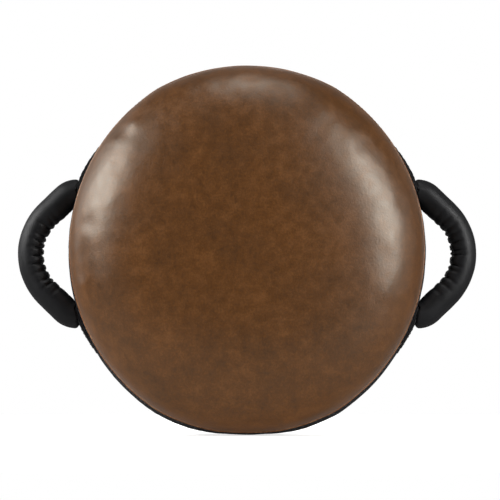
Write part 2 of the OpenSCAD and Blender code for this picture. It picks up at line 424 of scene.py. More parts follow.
# The same leatherette over the piping cord, stretched and rubbed to a warmer, lighter tone
BROWN_PIPING = leatherette(
    "rubbed_brown_leatherette", "#643e22", "#7e4f2f", "#a67b54", "#fff6e6", shine=0.8, roughness=0.42,
    cloud_mm=16, mottle_mm=5, grain_mm=1.4, contrast=0.36, grain_depth=0.1)
# Black leatherette with a finer grain
BLACK = leatherette(
    "black_leatherette", "#0b0b0d", "#0f0f11", "#151518", "#ffffff", shine=0.44, roughness=0.5, cloud_mm=30,
    mottle_mm=7, grain_mm=1.3, contrast=0.42, grain_depth=0.1)
# Polypropylene webbing in a herringbone weave
WEBBING = woven("polypropylene_webbing", "#141416", "#3d3d42", 0.58, along_mm=4.4, across_mm=3.4,
                zigzag_mm=12.5, depth_mm=0.7)
# Knitted elastic with ribs along its length
ELASTIC = woven("knitted_elastic", "#161619", "#47474d", 0.66, along_mm=2.4, across_mm=5.0,
                zigzag_mm=0.4, depth_mm=0.9)
# Nylon hooks in even rows on a woven back
HOOKS = speckled("nylon_hook_tape", "#121213", "#39393c", 0.5, spot_mm=1.7, depth_mm=0.9, randomness=0.25)
# Brushed nylon loops
LOOPS = speckled("nylon_loop_tape", "#202023", "#45454a", 0.85, spot_mm=1.3, depth_mm=0.7, sheen_weight=0.35,
                 sheen_roughness=0.4)
# Closed-cell foam, cut so that its cells show as fine pits
FOAM = speckled("closed_cell_foam", "#6d6f72", "#96989b", 0.9, spot_mm=1.4, depth_mm=0.3)
# Polyethylene sheet, sawn and a little scuffed, with painted shade at the edges of its faint cells
SHEET = speckled("polyethylene_sheet", "#c4c1b8", "#dedbd3", 0.45, spot_mm=3.0, depth_mm=0.05)
# Thread of the seams, a little lighter than the leatherette
BLACK_THREAD = twisted("black_polyester_thread", "#232325", "#4a4a4d")


# The cover of the pad

# The face as cloth that starts slack. MOVE_KEPT is kept of its move beyond the drawn shape plus MOVE_ADDED
SLACK = 2.5 * MM
CLOTH_MESH = 5 * MM
SEWN_DOWN = 4 * MM
CLOTH_STIFF = 4
CLOTH_GROWS = 0.012
PRESSURE = 4
CLOTH_FRAMES = 20
MOST_MOVE = 5 * MM
MOVE_ADDED = 1.5 * MM
MOVE_KEPT = 0.32
LEATHER_T = 0.5 * MM
BAND_T = 1.0 * MM


def half_ball(name, front, segments, rings):
    """A unit half ball that bulges forward or back, open at its rim."""
    ball = begin(name, bpy.ops.mesh.primitive_uv_sphere_add, segments=segments, ring_count=rings, radius=1,
                 rotation=(math.pi / 2, 0, 0))
    cut(ball, (0, 0, 0), (0, 1 if front else -1, 0))
    return ball


def face_point(co, slack=0.0):
    """Moves a point of the half ball onto the domed face, or onto one that is less full by slack."""
    share = min(1.0, math.hypot(co.x, co.z))
    turn = math.atan2(co.z, co.x)
    rise = math.sqrt(1 - share ** FACE_POWER)
    r = (reach(turn) - slack * rise) * share
    y = SEAM_Y + (CROWN_Y - SEAM_Y + slack) * rise
    return Vector((r * math.cos(turn), y, r * math.sin(turn)))


def blown_up(cover):
    """A copy of the cover, blown up by its foam as cloth that is sewn down at the seam."""
    blown = cover.copy()
    blown.data = cover.data.copy()
    bpy.context.collection.objects.link(blown)
    with edit(blown, "EDGE"):
        bpy.ops.mesh.select_all(action="DESELECT")
        bpy.ops.mesh.select_non_manifold()
        bpy.ops.mesh.edge_face_add()
    apply(blown, "REMESH", mode="VOXEL", voxel_size=CLOTH_MESH)
    seam = blown.vertex_groups.new(name="seam")
    seam.add([v.index for v in blown.data.vertices if v.co.y > SEAM_Y - SEWN_DOWN], 1.0, "REPLACE")
    before = [v.co.copy() for v in blown.data.vertices]
    take(blown)
    cloth = blown.modifiers.new("Cloth", "CLOTH")
    cloth.settings.vertex_group_mass = "seam"
    cloth.settings.use_pressure = True
    cloth.settings.uniform_pressure_force = PRESSURE
    cloth.settings.effector_weights.gravity = 0
    cloth.settings.bending_stiffness = CLOTH_STIFF
    cloth.settings.shrink_min = -CLOTH_GROWS
    cloth.point_cache.frame_start, cloth.point_cache.frame_end = 1, CLOTH_FRAMES
    for f in range(1, CLOTH_FRAMES + 1):
        bpy.context.scene.frame_set(f)
    bpy.ops.object.modifier_apply(modifier=cloth.name)
    bpy.context.scene.frame_set(1)
    for v, old in zip(blown.data.vertices, before):
        move = v.co - old
        if move.length > MOST_MOVE:
            v.co = old + move * (MOST_MOVE / move.length)
    return blown


# Soft dents along the shoulder of the face, and bumps where the depth is below 0: x, z, width and depth in mm
DENTS = [
    (-140, 126, 11, 0.8), (-124, 134, 9, -1.1), (-172, 51, 9, 0.6), (-176, 26, 10, 0.8), (-186, -14, 14, 0.6),
    (-180, -30, 8, 0.3), (-178, -44, 6, -0.95), (-171, -66, 17, 0.5), (112, 150, 22, 0.5), (158, 96, 20, 0.4),
    (40, 188, 24, 0.5), (-60, 186, 26, 0.5), (168, -24, 18, 0.4), (-112, 152, 16, -0.4),
]


def dented(co):
    """A point of the face with the dents and the faint unevenness of leather over foam."""
    sink = 0.0
    for x, z, wide, deep in DENTS:
        gap2 = (co.x / MM - x) ** 2 + (co.z / MM - z) ** 2
        sink += deep * math.exp(-gap2 / (wide * wide))
    share = math.hypot(co.x, co.z) / reach(math.atan2(co.z, co.x))
    edge = ease(0.55, 0.9, share) * (1 - ease(0.97, 1.0, share))
    sink -= 0.7 * edge
    broad = noise.noise(co / (34 * MM))
    fine = noise.noise(co / (15 * MM) + Vector((7, 3, 1)))
    sink += 0.5 * edge * broad + 0.3 * edge * fine
    inward = Vector((-co.x * 0.6, 0.1, -co.z * 0.6)).normalized()
    return co + inward * sink * MM


def swelling(cover):
    """How far each point of the face moves out of its drawn shape: a share of the cloth's move beyond it plus
    a fixed amount, and never inwards, so that the cover doesn't sink to the foam."""
    trial = cover.copy()
    trial.data = cover.data.copy()
    bpy.context.collection.objects.link(trial)
    shape(trial, lambda co: face_point(co, SLACK))
    blown = blown_up(trial)
    apply(trial, "SHRINKWRAP", target=blown, wrap_method="PROJECT", use_negative_direction=True,
          use_positive_direction=True, project_limit=12 * MM)
    moves = []
    for v, ball in zip(trial.data.vertices, cover.data.vertices):
        drawn = face_point(ball.co)
        out = drawn - face_point(ball.co, SLACK)
        share = min(1.0, math.hypot(ball.co.x, ball.co.z))
        move = (v.co - drawn).dot(out.normalized()) if out.length > 0 else 0.0
        moves.append(max(0.0, MOVE_KEPT * (move + MOVE_ADDED) * (1 - ease(0.96, 1.0, share))))
    bpy.data.objects.remove(blown)
    bpy.data.objects.remove(trial)
    return moves


def make_face():
    """The face: one domed panel of brown leatherette, sewn down all round."""
    cover = half_ball("face_cushion", front=True, segments=160, rings=96)
    swell = swelling(cover)
    shape(cover, face_point)
    outs = [v.normal.copy() for v in cover.data.vertices]
    for v, out, far in zip(cover.data.vertices, outs, swell):
        v.co += out * far
    apply(cover, "SUBSURF", levels=1, render_levels=1)
    shape(cover, dented)
    close_up(cover)
    apply(cover, "SOLIDIFY", thickness=LEATHER_T, offset=-1)
    dress(cover, BROWN, "pad", ["front_cover"], angle=60)


def tab_hold(z):
    """1 where a sewn tab and the end of a grip hold the band down, 0 away from them."""
    z = abs(z)
    return ease(*HOLD_START, z) * (1 - ease(*HOLD_END, z))


def bulge(d, z):
    """How far the band stands out at d forward of the back: most midway between its seams, more where the
    foam sags, and less at the very bottom, where the pad stands on it."""
    v = (d - REAR_SEAM) / (-SEAM_Y - REAR_SEAM)
    low = min(1.0, max(0.0, -z / HALF_H))
    sag = 1 + BULGE_SAG * low - BULGE_STOOD_ON * ease(0.95, 1.0, low)
    return BULGE * sag * max(0.0, 1 - (2 * v - 1) ** 2)


def band_point(co):
    """A point of the band, which bulges between its seams and puckers away from the tabs."""
    turn = math.atan2(co.z, co.x)
    d = -co.y
    z = reach(turn) * math.sin(turn)
    out = bulge(d, z)
    crown = min(1.0, out / BULGE)
    free = 1 - (tab_hold(z) if abs(math.cos(turn)) > 0.5 else 0.0)
    spot = Vector((turn * 8.5, d / (22 * MM), 0))
    pucker = (0.35 * noise.noise(spot * 1.3) + 0.18 * noise.noise(spot * 4.1)) * crown * free
    r = reach(turn, out + (pucker - 0.5 * (1 - crown) ** 3) * MM)
    return Vector((r * math.cos(turn), co.y, r * math.sin(turn)))


def make_band():
    """The side band: a strip of black leatherette between the two rows of piping."""
    depth = -SEAM_Y - 1.0 * MM
    middle_y = -depth / 2 - BAND_BACK
    band = begin("side_gusset", bpy.ops.mesh.primitive_cylinder_add, vertices=480, radius=HALF_W, depth=depth,
                 end_fill_type="NOTHING", location=(0, middle_y, 0), rotation=(math.pi / 2, 0, 0))
    with edit(band, "EDGE") as bm:
        select(band, bm, bm.edges, lambda middle: abs(middle.y - middle_y) < 1 * MM)
        bpy.ops.mesh.subdivide(number_cuts=13)
    shape(band, band_point)
    close_up(band)
    apply(band, "SOLIDIFY", thickness=BAND_T, offset=-1)
    dress(band, BLACK, "pad", ["side_band"])


def make_piping(name, y, radius, finish, cad_node):
    """Piping: a cord wrapped in leatherette and caught in the seam, a little uneven along its length."""
    cord = begin(name, bpy.ops.mesh.primitive_torus_add, major_segments=640, minor_segments=12,
                 major_radius=HALF_W, minor_radius=radius, location=(0, y, 0), rotation=(math.pi / 2, 0, 0))

    def laid(co):
        turn = math.atan2(co.z, co.x)
        wave = 0.16 * noise.noise(Vector((math.cos(turn) * 16, y * 90, math.sin(turn) * 16)))
        pinch = 0.07 * math.sin(turn * 230)
        moved = to_outline(co, HALF_W + (PIPING_IN_MM - wave) * MM)
        return moved + Vector((math.cos(turn), 0, math.sin(turn))) * pinch * MM

    shape(cord, laid)
    close_up(cord)
    dress(cord, finish, "pad", [cad_node], angle=60)


def back_point(co):
    """A point of the back panel, which is nearly flat and dips into its edge seam."""
    share = min(1.0, math.hypot(co.x, co.z))
    turn = math.atan2(co.z, co.x)
    r = (reach(turn) - 0.3 * MM) * share
    p = Vector((r * math.cos(turn), 0, r * math.sin(turn)))
    sink = 0.12 + 0.5 * ease(0.94, 1.0, share) ** 2
    sink += 0.5 * (0.5 + 0.5 * noise.noise(p / (48 * MM))) + 0.16 * (0.5 + 0.5 * noise.noise(p / (19 * MM)))
    round_at = Vector((math.cos(turn) * 7, share * 1.5, math.sin(turn) * 7))
    sink += 0.3 * ease(0.8, 0.94, share) * (0.5 + 0.5 * noise.noise(round_at * 2.2))
    sink += 0.35 * math.exp(-((share - 0.955) / 0.012) ** 2)
    p.y = -sink * MM
    return p


def make_back():
    """The back panel: lined black leatherette that lies against the wearer."""
    back = half_ball("back_leather", front=False, segments=192, rings=128)
    shape(back, back_point)
    close_up(back)
    apply(back, "SOLIDIFY", thickness=LEATHER_T, offset=-1)
    dress(back, BLACK, "pad", ["back_panel"])


# Stitches


def make_stitch():
    """One thread loop of a seam, lying along X with its top towards Z, and pulled down at both ends."""
    loop = begin("stitch", bpy.ops.mesh.primitive_uv_sphere_add, segments=8, ring_count=5, radius=1,
                 rotation=(0, math.pi / 2, 0))
    shape(loop, lambda co: Vector((co.x * 1.9 * MM, co.y * 0.5 * MM, (co.z * 0.42 - 0.15 * co.x ** 2) * MM)))
    return loop


STITCH = make_stitch()
STITCH_PITCH = 5.2 * MM


def line_of(points, normal):
    """Stitch places along a path of points that lies on one side of a flat piece."""
    spots = []
    left = STITCH_PITCH / 2
    for a, b in zip(points, points[1:]):
        a, b = Vector(a), Vector(b)
        run = (b - a).length
        while left <= run:
            spots.append((a.lerp(b, left / run), b - a, Vector(normal)))
            left += STITCH_PITCH
        left -= run
    return spots


def round_line(d, inset=None):
    """Stitch places round the band at d forward of the back, or round the back panel at an inset."""
    spots = []
    count = round(2 * math.pi * HALF_H / STITCH_PITCH)
    for k in range(count):
        turn = 2 * math.pi * k / count
        tangent = Vector((-math.sin(turn), 0, math.cos(turn)))
        if inset is None:
            here = Vector((math.cos(turn), 0, math.sin(turn)))
            out = bulge(d, reach(turn) * math.sin(turn)) + 0.05 * MM
            spots.append((on_outline(turn, d, out), tangent, here))
        else:
            spots.append((on_outline(turn, d, -inset), tangent, Vector((0, 1, 0))))
    return spots


def sew(name, spots, body):
    """A row of stitches: a copy of the one loop at each spot, turned along the seam."""
    bm = bmesh.new()
    for place, along, out in spots:
        first = len(bm.verts)
        bm.from_mesh(STITCH.data)
        x = along.normalized()
        z = (out - x * out.dot(x)).normalized()
        turned = Matrix((x, z.cross(x), z)).transposed().to_4x4()
        turned.translation = place
        bm.verts.ensure_lookup_table()
        bmesh.ops.transform(bm, matrix=turned, verts=bm.verts[first:])
    mesh = bpy.data.meshes.new(name)
    bm.to_mesh(mesh)
    bm.free()
    row = bpy.data.objects.new(name, mesh)
    bpy.context.collection.objects.link(row)
    dress(row, BLACK_THREAD, body, angle=60)


def box_and_cross(x0, x1, z0, z1):
    """The corners of a sewn box and its cross, as two lines: the box with one diagonal, and the other one."""
    return [(x0, z0), (x1, z0), (x1, z1), (x0, z1), (x0, z0), (x1, z1)], [(x0, z1), (x1, z0)]


# Handles


def pleats(seed):
    """The pleats of a grip, deep ones inside its bend and fine ones along all of it: place along it, depth
    and width in mm, how far round the tube it reaches, and slant in mm."""
    draw = random.Random(seed)
    made = []
    for k in range(12):
        at = -56 + 10.2 * k + draw.uniform(-2.4, 2.4)
        fade = 1 - 0.7 * (at / 58) ** 2
        made.append((at, draw.uniform(1.8, 3.3) * fade, draw.uniform(1.0, 1.6), draw.uniform(0.15, 0.6),
                     draw.uniform(-3, 3)))
    for k in range(34):
        at = -78 + 4.7 * k + draw.uniform(-1.5, 1.5)
        made.append((at, draw.uniform(0.12, 0.4), draw.uniform(0.5, 0.8), draw.uniform(-0.1, 0.4),
                     draw.uniform(-3, 3)))
    return made


def grip_line(run):
    """A place on the middle line of a grip, run from its middle, and the way out from the bend there."""
    up = 1 if run > 0 else -1
    bend = min(abs(run), BEND_R * BEND_END)
    arm = min(abs(run) - bend, ARM_L)
    turn_in = min(abs(run) - bend - arm, TURN_IN_R * TURN_IN)
    end = abs(run) - bend - arm - turn_in
    lean = bend / BEND_R
    tip = lean + turn_in / TURN_IN_R
    x = HUB_X + BEND_R * math.cos(lean) - arm * math.sin(lean)
    z = BEND_R * math.sin(lean) + arm * math.cos(lean)
    x += TURN_IN_R * (math.cos(tip) - math.cos(lean)) - end * math.sin(tip)
    z += TURN_IN_R * (math.sin(tip) - math.sin(lean)) + end * math.cos(tip)
    return Vector((x, 0, up * z)), Vector((math.cos(tip), 0, up * math.sin(tip)))


def pressed(co):
    """A point of a grip on the right, kept off the band and the tab that lies on it."""
    hub = Vector((-SIDE_EASE, co.y, 0))
    out = co - hub
    tab = TAB_T * ease(TAB_START - 1.5 * MM, TAB_START + MM, abs(co.z))
    rest = SIDE_R + bulge(-co.y, co.z) + tab + GRIP_GAP
    soft = 2 * GRIP_GAP
    gap = (out.length - rest) / soft
    if gap > 12:
        return co
    return hub + out * ((rest + soft * math.log1p(math.exp(gap))) / out.length)


def rounded(t):
    """1 up to the start of a blunt rounded end, then down to 0."""
    t = min(1.0, max(0.0, t))
    return (1 - t ** 3.2) ** (1 / 3.2)


def grip_point(co, side, folds):
    """A point of a grip: a padded tube with pleats inside its curve and a seam, gathered at both ends."""
    x, z = side * co.x - HUB_X, co.z
    run = math.atan2(z, x) / TORUS_END * GRIP_L
    round_at = math.atan2(co.y - GRIP_Y, math.hypot(x, z) - BEND_R)
    inner = -math.cos(round_at)
    far = run / MM
    cap = rounded((abs(run) - GRIP_L + CAP_L) / CAP_L)
    puff = 0.0
    for at, deep, wide, edge, slant in folds:
        span = ease(-edge, 0.65, inner)
        if span > 0:
            across = (far - at - slant * (1 - inner) * 0.5) / (wide * (0.7 + 0.6 * span))
            if abs(across) < 3:
                puff -= deep * span * math.exp(-across * across)
    puff += 0.5 * ease(0.2, 1, inner)
    gather = ease(GRIP_L - CAP_L - 8 * MM, GRIP_L, abs(run))
    puff -= 0.45 * gather * (0.5 + 0.5 * math.cos(17 * round_at + 2 * math.sin(3 * round_at)))
    puff += 0.22 * noise.noise(Vector((far / 11, math.cos(round_at) * 1.4, math.sin(round_at) * 1.4 + side)))
    from_seam = round_at - GRIP_SEAM
    seam = abs(math.degrees(math.atan2(math.sin(from_seam), math.cos(from_seam))))
    puff -= 0.55 * math.exp(-(seam / 3.2) ** 2) * (1 - gather)
    r = (GRIP_R + (ARM_R - GRIP_R) * ease(20 * MM, 60 * MM, abs(run)) + puff * MM) * cap
    middle, out = grip_line(run)
    place = Vector((0, GRIP_Y + r * math.sin(round_at), -GRIP_DROP))
    point = pressed(middle + out * (r * math.cos(round_at)) + place)
    return Vector((side * point.x, point.y, point.z))


def make_grip(side, word, seed):
    """A padded handle: leatherette rolled round foam and a webbing core, closed with a seam on its back."""
    hub = Vector((side * HUB_X, GRIP_Y, 0))
    tube = begin(word + "_grip", bpy.ops.mesh.primitive_torus_add, major_segments=900, minor_segments=64,
                 major_radius=BEND_R, minor_radius=GRIP_R, location=hub, rotation=(math.pi / 2, 0, 0))
    for up in (1, -1):
        cut(tube, hub, (-side * math.sin(TORUS_END), 0, up * math.cos(TORUS_END)))
    folds = pleats(seed)
    shape(tube, lambda co: grip_point(co, side, folds))
    close_up(tube)
    dress(tube, BLACK, None,
          [word + "_handle_sleeve", word + "_handle_foam", word + "_handle_core"], angle=70)
    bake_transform(tube)


def on_bulge(co, side):
    """A point beside the band, moved out as far as the band bulges there."""
    out = Vector((co.x + side * SIDE_EASE, 0, co.z)).normalized()
    return co + out * bulge(-co.y, co.z)


def skived(co, side):
    """A point of a tab, which is pared thinner towards its sewn end."""
    hub = Vector((-side * SIDE_EASE, co.y, 0))
    out = co - hub
    floor = SIDE_R + bulge(-co.y, co.z)
    thin = 1 - 0.6 * ease(TAB_END - 32 * MM, TAB_END, abs(co.z))
    return hub + out * ((floor + (out.length - floor) * thin) / out.length)


def tab_layer(name, side, up, low, high, half, out, thick):
    """One layer of a tab: a strip that follows the band's arc, out and thick in mm."""
    strip = begin(name, bpy.ops.mesh.primitive_cylinder_add, vertices=900,
                  radius=SIDE_R + (out + thick / 2) * MM, depth=2 * half, end_fill_type="NOTHING",
                  location=(-side * SIDE_EASE, GRIP_Y, 0), rotation=(math.pi / 2, 0, 0))
    cut(strip, (0, 0, up * low), (0, 0, -up))
    cut(strip, (0, 0, up * high), (0, 0, up))
    cut(strip, (0, 0, 0), (-side, 0, 0))
    with edit(strip, "EDGE") as bm:
        select(strip, bm, bm.edges, lambda middle: abs(middle.y - GRIP_Y) < 1 * MM)
        bpy.ops.mesh.subdivide(number_cuts=9)
    shape(strip, lambda co: on_bulge(co, side))
    close_up(strip)
    apply(strip, "SOLIDIFY", thickness=thick * MM, offset=0)
    wear(strip, 0.5 * MM)
    return strip


def make_tab(side, up, word):
    """A tab: the handle's tail, folded double and sewn down along the band."""
    under = tab_layer("under", side, up, TAB_START, TAB_END, TAB_HALF, TAB_OUT_MM, LAYER_MM)
    over = tab_layer("over", side, up, TAB_START + 3 * MM, TAB_END - 5 * MM, TAB_HALF - 1.5 * MM,
                     TAB_OUT_MM + LAYER_MM, LAYER_MM)
    tab = join(word + "_tab_tail", [under, over])
    shape(tab, lambda co: skived(co, side))
    dress(tab, BLACK, "pad", [word + "_tab"])
    spots = []
    for path in box_and_cross(TAB_START + 16 * MM, TAB_END - 9 * MM, -TAB_HALF + 4 * MM, TAB_HALF - 4 * MM):
        places = []
        for (z0, w0), (z1, w1) in zip(path, path[1:]):
            places += [(z0 + (z1 - z0) * k / 12, w0 + (w1 - w0) * k / 12) for k in range(13)]
        points = []
        for z, w in places:
            lean = math.asin(z / (SIDE_R + TAB_T))
            x = (SIDE_R + TAB_T) * math.cos(lean) - SIDE_EASE
            points.append(skived(on_bulge(Vector((side * x, GRIP_Y + w, up * z)), side), side))
        for a, b in zip(points, points[1:]):
            if (b - a).length < 0.1 * MM:
                continue
            out = Vector((side * (abs(a.x) + SIDE_EASE), 0, a.z)).normalized()
            spots.append((a, b - a, out))
    sew(word + "_tab_stitches", thin_out(spots), "pad")


def thin_out(spots):
    """Leaves out places that lie closer than a stitch's pitch to the last one that was kept."""
    kept = []
    for spot in spots:
        if not kept or (spot[0] - kept[-1][0]).length >= STITCH_PITCH * 0.98:
            kept.append(spot)
    return kept


# Belt


def strap_line(name, x, y, half):
    """The end edge of a strap: a line across the belt, from which it is drawn out."""
    line = begin(name, bpy.ops.mesh.primitive_plane_add, size=2 * half, location=(x, y, 0),
                 rotation=(math.pi / 2, 0, 0))
    with edit(line) as bm:
        select(line, bm, bm.verts, lambda co: co.x > x)
        bpy.ops.mesh.delete(type="VERT")
    shape(line, lambda co: Vector((x, y, co.z)))
    return line


def draw_out(strap, at, steps):
    """Draws the strap's free edge out through the places in steps, from the place at."""
    with edit(strap, "EDGE") as bm:
        select(strap, bm, bm.edges, lambda middle: (middle.xy - Vector(at)).length < 0.01 * MM)
        for x, y in steps:
            bpy.ops.mesh.extrude_region_move(TRANSFORM_OT_translate={"value": (x - at[0], y - at[1], 0)})
            at = (x, y)


def thicken(strap, thick):
    """Gives a strap its thickness and worn edges."""
    close_up(strap)
    apply(strap, "SOLIDIFY", thickness=thick, offset=0)
    wear(strap, 0.55 * MM)


def run_of(x0, y0, x1, y1, step=4 * MM):
    """Places along a straight run of strap."""
    count = max(1, round(math.hypot(x1 - x0, y1 - y0) / step))
    return [(x0 + (x1 - x0) * k / count, y0 + (y1 - y0) * k / count) for k in range(1, count + 1)]


def folded_wing(name, side, anchor_x, wing_x):
    """A strap that lies on the back panel, turns over at its fold and comes back on top of itself."""
    flat_y, wing_y = BELT_T / 2, BELT_FOLD_Y
    turn_r = (wing_y - flat_y) / 2
    strap = strap_line(name, side * anchor_x, flat_y, BELT_HALF)
    places = run_of(side * anchor_x, flat_y, side * BELT_FOLD_X, flat_y)
    for k in range(1, 11):
        a = math.pi * k / 10
        places.append((side * (BELT_FOLD_X + turn_r * math.sin(a)), flat_y + turn_r * (1 - math.cos(a))))
    places += run_of(side * BELT_FOLD_X, wing_y, side * wing_x, wing_y)
    draw_out(strap, (side * anchor_x, flat_y), places)
    thicken(strap, WEBBING_T)
    return strap


def patch(name, x0, x1, y0, y1, half, finish, body, cad_node):
    """A sewn-on patch of tape with a thin edge all round and a raised field."""
    base = begin(name, bpy.ops.mesh.primitive_plane_add, size=1, scale=(abs(x1 - x0), 2 * half, 1),
                 location=((x0 + x1) / 2, y0, 0), rotation=(math.pi / 2, 0, 0))
    rise = y1 - y0
    with edit(base, "FACE"):
        bpy.ops.mesh.extrude_region_move(TRANSFORM_OT_translate={"value": (0, rise * 0.55, 0)})
        bpy.ops.mesh.inset(thickness=3.2 * MM)
        bpy.ops.mesh.extrude_region_move(TRANSFORM_OT_translate={"value": (0, rise * 0.45, 0)})
    close_up(base)
    with edit(base):
        bpy.ops.mesh.fill_holes(sides=0)
        bpy.ops.mesh.normals_make_consistent(inside=False)
    wear(base, 0.18 * MM)
    dress(base, finish, body, [cad_node])


def make_belt():
    """The waist belt, closed flat behind the pad: the left wing laps over the right one."""
    anchor_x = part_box("belt_right_anchor")[0].x
    elastic_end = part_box("belt_left_elastic")[1].x
    tip_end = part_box("belt_tip_strap")[1].x
    right_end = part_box("belt_right_strap")[0].x
    hook_low, hook_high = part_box("belt_tip_hook")
    loop_low, loop_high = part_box("belt_loop_field")
    pull_low, pull_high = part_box("belt_pull_tab")
    lap = -BELT_FOLD_X + ELASTIC_START

    left = folded_wing("left_fold_webbing", -1, anchor_x, -lap)
    dress(left, WEBBING, None, ["belt_left_anchor"])
    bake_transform(left)

    right = folded_wing("right_wing_webbing", 1, anchor_x, right_end)
    dress(right, WEBBING, None, ["belt_right_anchor", "belt_right_strap"])
    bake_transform(right)

    mid_y = BELT_FOLD_Y
    elastic = strap_line("left_elastic_band", lap, mid_y, BELT_HALF - 0.6 * MM)
    draw_out(elastic, (lap, mid_y), run_of(lap, mid_y, elastic_end, mid_y))
    thicken(elastic, ELASTIC_T)
    dress(elastic, ELASTIC, "belt_left", ["belt_left_elastic"])

    over_y = TIP_FOLD_Y
    ramp_low, ramp_high = -30 * MM, 4 * MM
    wing = strap_line("left_wing_webbing", elastic_end, mid_y, BELT_HALF)
    places = run_of(elastic_end, mid_y, ramp_low, mid_y)
    for k in range(1, 13):
        x = ramp_low + (ramp_high - ramp_low) * k / 12
        places.append((x, mid_y + (over_y - mid_y) * ease(ramp_low, ramp_high, x)))
    places += run_of(ramp_high, over_y, TIP_FOLD_X - 4 * MM, over_y)
    places += run_of(TIP_FOLD_X - 4 * MM, over_y, TIP_FOLD_X + 4 * MM, over_y, 0.8 * MM)
    places += run_of(TIP_FOLD_X + 4 * MM, over_y, tip_end, over_y)
    draw_out(wing, (elastic_end, mid_y), places)
    thicken(wing, WEBBING_T)
    dress(wing, WEBBING, None, ["belt_left_strap", "belt_tip_strap"])
    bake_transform(wing)

    patch("hook_patch", hook_low.x, hook_high.x, hook_high.y, hook_low.y, hook_high.z, HOOKS,
          "belt_tip", "belt_tip_hook")
    patch("loop_patch", loop_low.x, loop_high.x, loop_low.y, loop_high.y, loop_high.z, LOOPS,
          "belt_right", "belt_loop_field")

    tab = begin("pull_tab", bpy.ops.mesh.primitive_cube_add, size=1, location=(pull_low + pull_high) / 2,
                scale=tuple(pull_high - pull_low))
    with edit(tab, "EDGE") as bm:
        select(tab, bm, bm.edges, lambda m: m.x > pull_high.x - 1 * MM and abs(m.z) > pull_high.z - 1 * MM
               and abs(m.y - over_y) < 0.1 * MM)
        bpy.ops.mesh.bevel(offset=6 * MM, segments=8, affect="EDGES")
        bpy.ops.mesh.select_mode(type="FACE")
        select(tab, bm, bm.faces, lambda m: m.y > pull_high.y - 0.1 * MM or m.y < pull_low.y + 0.1 * MM)
        bpy.ops.mesh.inset(thickness=1.2 * MM)
        bpy.ops.mesh.inset(thickness=0.8 * MM, depth=0.35 * MM)
    close_up(tab)
    wear(tab, 0.3 * MM)
    dress(tab, BLACK, "belt_tip", ["belt_pull_tab"])

    back = (0, 1, 0)
    edge = BELT_HALF - BELT_EDGE

    def on_belt(paths, y):
        return [s for path in paths for s in line_of([(x, y, z) for x, z in path], back)]

    for side, word in ((-1, "left"), (1, "right")):
        paths = box_and_cross(side * (anchor_x + 6 * MM), side * (BELT_FOLD_X - 10 * MM), -edge, edge)
        sew(word + "_anchor_stitches", on_belt(paths, BELT_T), "pad")
    top = BELT_FOLD_Y + BELT_T / 2
    rows = [[(x, -edge), (x, edge)] for x in (lap - 3 * MM, lap - 8 * MM)]
    rows += [[(x, -edge), (x, edge)] for x in (elastic_end + 3 * MM, elastic_end + 8 * MM)]
    sew("left_wing_stitches", on_belt(rows, top), "belt_left")
    x0, x1, z1 = hook_low.x + PATCH_EDGE, hook_high.x - PATCH_EDGE, hook_high.z - PATCH_EDGE
    frame_path = [(x0, -z1), (x1, -z1), (x1, z1), (x0, z1), (x0, -z1)]
    sew("tip_stitches", on_belt([frame_path], TIP_FOLD_Y + BELT_T / 2), "belt_tip")


def make_rest():
    """What lies inside the cover keeps its CAD shape, with the finish of its stuff."""
    inside = {"face_foam": FOAM, "core_foam": FOAM, "back_foam": FOAM, "spreader_sheet": SHEET}
    for name, finish in inside.items():
        data = frame["nodes"][name].data
        data.materials.clear()
        data.materials.append(finish)


make_face()
make_band()
make_piping("front_piping", SEAM_Y, FRONT_PIPING_R, BROWN_PIPING, "front_welt")
make_piping("rear_piping", REAR_PIPING_Y, REAR_PIPING_R, BLACK, "rear_welt")
make_back()
sew("front_seam_stitches", round_line(-SEAM_Y - FRONT_ROW), "pad")
sew("rear_seam_stitches", round_line(REAR_ROW), "pad")
sew("back_edge_stitches", round_line(BACK_ROW_SUNK, BACK_ROW), "pad")
for hand, side_word in ((1, "right"), (-1, "left")):
    make_grip(hand, side_word, 11 + hand)
    for lift, height_word in ((1, "upper"), (-1, "lower")):
        make_tab(hand, lift, side_word + "_" + height_word)
make_belt()
make_rest()
bpy.data.objects.remove(STITCH)


# Camera, floor and light. The floor lies a little above the CAD's lowest edge, because the pad is soft there

VIEW_W = 557 * MM
SENSOR_MM = 36
CAMERA_FAR = 2.6
CAMERA_DOWN = math.radians(5.5)
AIM = Vector((3.3 * MM, -40 * MM, -1.5 * MM))
FLOOR_LEAN = math.radians(3)
FLOOR_Z = cad_box[0].z + 1.5 * MM
PAPER_GLOW = 0.68
PAPER_SHINE = 0.1
ROOM_LIGHT = 0.062
ROOM_SHINE = 0.16


def make_camera():
    """The camera looks a little up at the face, from below its middle."""
    data = bpy.data.cameras.new("camera")
    data.sensor_width = SENSOR_MM
    data.lens = SENSOR_MM * CAMERA_FAR / VIEW_W
    camera = bpy.data.objects.new("camera", data)
    bpy.context.collection.objects.link(camera)
    back = Vector((0, -math.cos(CAMERA_DOWN), -math.sin(CAMERA_DOWN)))
    camera.location = AIM + back * CAMERA_FAR
    camera.rotation_euler = (-back).to_track_quat("-Z", "Y").to_euler()
    bpy.context.scene.camera = camera


